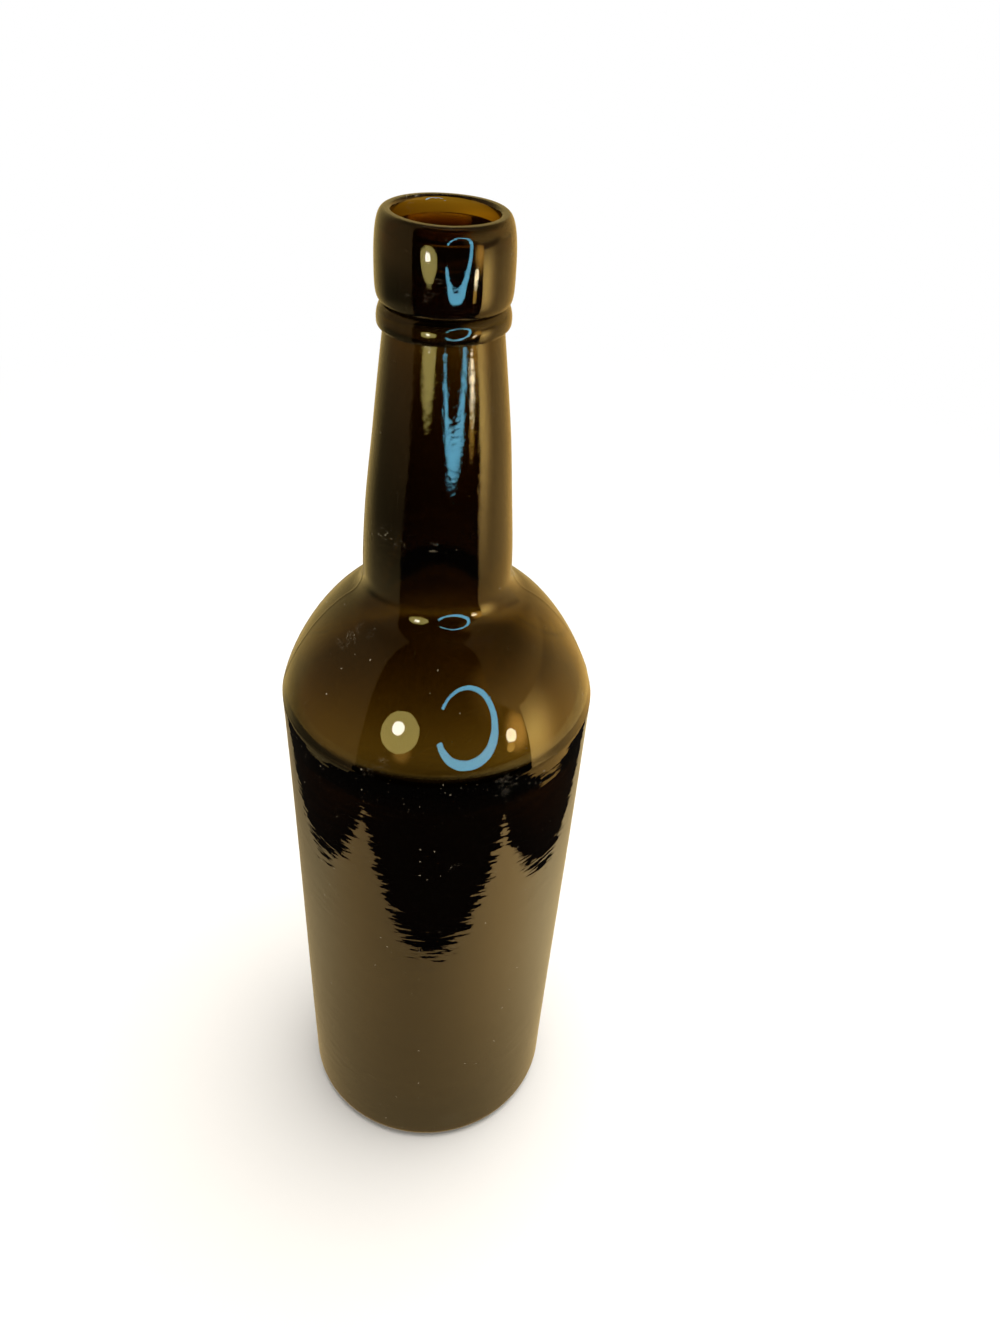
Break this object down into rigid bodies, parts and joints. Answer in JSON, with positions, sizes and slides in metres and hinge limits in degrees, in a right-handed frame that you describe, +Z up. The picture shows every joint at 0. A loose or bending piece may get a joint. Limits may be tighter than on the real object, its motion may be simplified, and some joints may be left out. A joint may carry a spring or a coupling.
{
  "type": "liquor bottle",
  "caption": "Empty dark olive-amber glass spirits bottle: tall cylindrical body, domed shoulder, long neck with a string rim and a lip band.",
  "frame": {"origin": "centre of the base, on the plane that the bearing ring stands on", "axes": "+Z up along the bottle's axis towards the mouth; the bottle is turned about Z, so X and Y are free"},
  "size_m": [0.082, 0.082, 0.285],
  "materials": {
    "bottle_glass": "dark olive-amber blown glass, faintly rippled by the mould",
    "finish_glass": "dark olive-amber glass, fire-polished and tooled by hand"
  },
  "bodies": {
    "root": {"bottle_body": "bottle_glass", "string_rim": "finish_glass", "lip_band": "finish_glass"}
  },
  "joints": []
}
